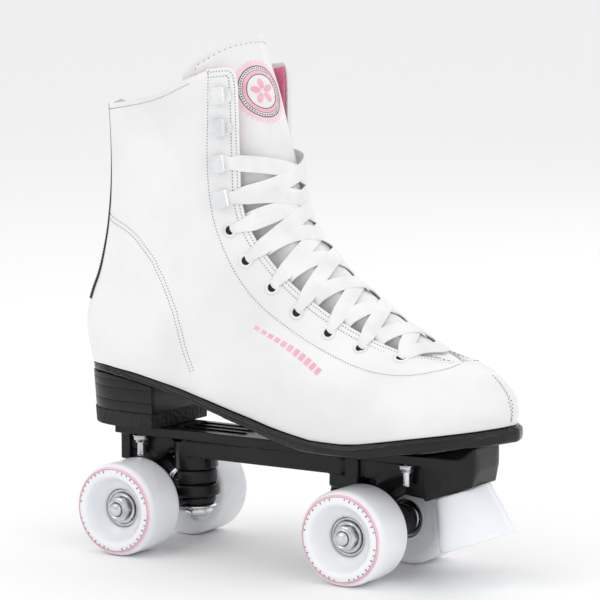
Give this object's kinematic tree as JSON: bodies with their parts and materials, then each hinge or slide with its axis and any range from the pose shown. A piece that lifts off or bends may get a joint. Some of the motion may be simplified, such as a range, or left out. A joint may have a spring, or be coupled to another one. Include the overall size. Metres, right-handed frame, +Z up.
{
  "type": "quad roller skate",
  "caption": "High lace-up quad roller skate: stiff white boot with stacked heel on a black plate, two sprung steering trucks, wheels on ball bearings and an angled toe stop.",
  "frame": {"origin": "centre of the bounding box, at the floor that the wheels stand on", "axes": "+X towards the toe, +Y to the wearer's left, +Z up"},
  "size_m": [0.2825, 0.103, 0.299],
  "materials": {
    "white_leather": "smooth coated leather, satin, with grey needle holes along the seams",
    "pink_lining": "brushed textile lining",
    "footbed_fabric": "thin woven cover over foam",
    "lace_cotton": "flat woven cotton lace",
    "black_sole": "moulded synthetic sole, semi-gloss",
    "black_rubber": "moulded rubber, matt and slightly rough",
    "black_nylon": "moulded glass-filled nylon, semi-gloss",
    "black_truck": "black powder coat, semi-gloss",
    "white_urethane": "cast polyurethane, slightly milky and glossy",
    "bearing_steel": "ground bearing steel",
    "zinc_steel": "bright zinc plate"
  },
  "bodies": {
    "skate_body": {"left_quarter": "white_leather", "right_quarter": "white_leather", "heel_counter": "white_leather", "left_facing": "white_leather", "right_facing": "white_leather", "tongue": "white_leather", "lining": "pink_lining", "insole": "footbed_fabric", "outsole": "black_sole", "heel_block": "black_sole", "heel_top_lift": "black_rubber", "lace": "lace_cotton", "plate": "black_nylon", "toe_stop": "white_urethane", "toe_stop_bolt": "zinc_steel", "rear_left_mount_bolt": "zinc_steel", "rear_left_mount_nut": "zinc_steel", "rear_right_mount_bolt": "zinc_steel", "rear_right_mount_nut": "zinc_steel", "front_left_mount_bolt": "zinc_steel", "front_left_mount_nut": "zinc_steel", "front_right_mount_bolt": "zinc_steel", "front_right_mount_nut": "zinc_steel", "rear_kingpin": "zinc_steel", "rear_kingpin_nut": "zinc_steel", "rear_upper_cushion": "black_rubber", "rear_lower_cushion": "black_rubber", "rear_cushion_washer": "zinc_steel", "rear_pivot_cup": "black_rubber", "front_kingpin": "zinc_steel", "front_kingpin_nut": "zinc_steel", "front_upper_cushion": "black_rubber", "front_lower_cushion": "black_rubber", "front_cushion_washer": "zinc_steel", "front_pivot_cup": "black_rubber"},
    "rear_steering": {"rear_truck": "black_truck", "rear_axle": "zinc_steel", "rear_left_spacer": "zinc_steel", "rear_left_axle_nut": "zinc_steel", "rear_right_spacer": "zinc_steel", "rear_right_axle_nut": "zinc_steel"},
    "rear_left_roller": {"rear_left_wheel": "white_urethane", "rear_left_outer_bearing": "bearing_steel", "rear_left_inner_bearing": "bearing_steel"},
    "rear_right_roller": {"rear_right_wheel": "white_urethane", "rear_right_outer_bearing": "bearing_steel", "rear_right_inner_bearing": "bearing_steel"},
    "front_steering": {"front_truck": "black_truck", "front_axle": "zinc_steel", "front_left_spacer": "zinc_steel", "front_left_axle_nut": "zinc_steel", "front_right_spacer": "zinc_steel", "front_right_axle_nut": "zinc_steel"},
    "front_left_roller": {"front_left_wheel": "white_urethane", "front_left_outer_bearing": "bearing_steel", "front_left_inner_bearing": "bearing_steel"},
    "front_right_roller": {"front_right_wheel": "white_urethane", "front_right_outer_bearing": "bearing_steel", "front_right_inner_bearing": "bearing_steel"}
  },
  "joints": [
    {"name": "rear_steer", "type": "hinge", "parent": "skate_body", "child": "rear_steering", "pos_m": [-0.1, 0, 0.0549], "axis": [-0.8403, 0, 0.5421], "range_deg": [-7, 7], "stiffness_Nm_per_rad": 12, "deforming": ["rear_upper_cushion", "rear_lower_cushion"]},
    {"name": "rear_left_spin", "type": "hinge", "parent": "rear_steering", "child": "rear_left_roller", "pos_m": [-0.092, 0.0355, 0.027], "axis": [0, 1, 0], "continuous": true},
    {"name": "rear_right_spin", "type": "hinge", "parent": "rear_steering", "child": "rear_right_roller", "pos_m": [-0.092, -0.0355, 0.027], "axis": [0, 1, 0], "continuous": true},
    {"name": "front_steer", "type": "hinge", "parent": "skate_body", "child": "front_steering", "pos_m": [0.069, 0, 0.0549], "axis": [0.8403, 0, 0.5421], "range_deg": [-7, 7], "stiffness_Nm_per_rad": 12, "deforming": ["front_upper_cushion", "front_lower_cushion"]},
    {"name": "front_left_spin", "type": "hinge", "parent": "front_steering", "child": "front_left_roller", "pos_m": [0.061, 0.0355, 0.027], "axis": [0, 1, 0], "continuous": true},
    {"name": "front_right_spin", "type": "hinge", "parent": "front_steering", "child": "front_right_roller", "pos_m": [0.061, -0.0355, 0.027], "axis": [0, 1, 0], "continuous": true}
  ]
}
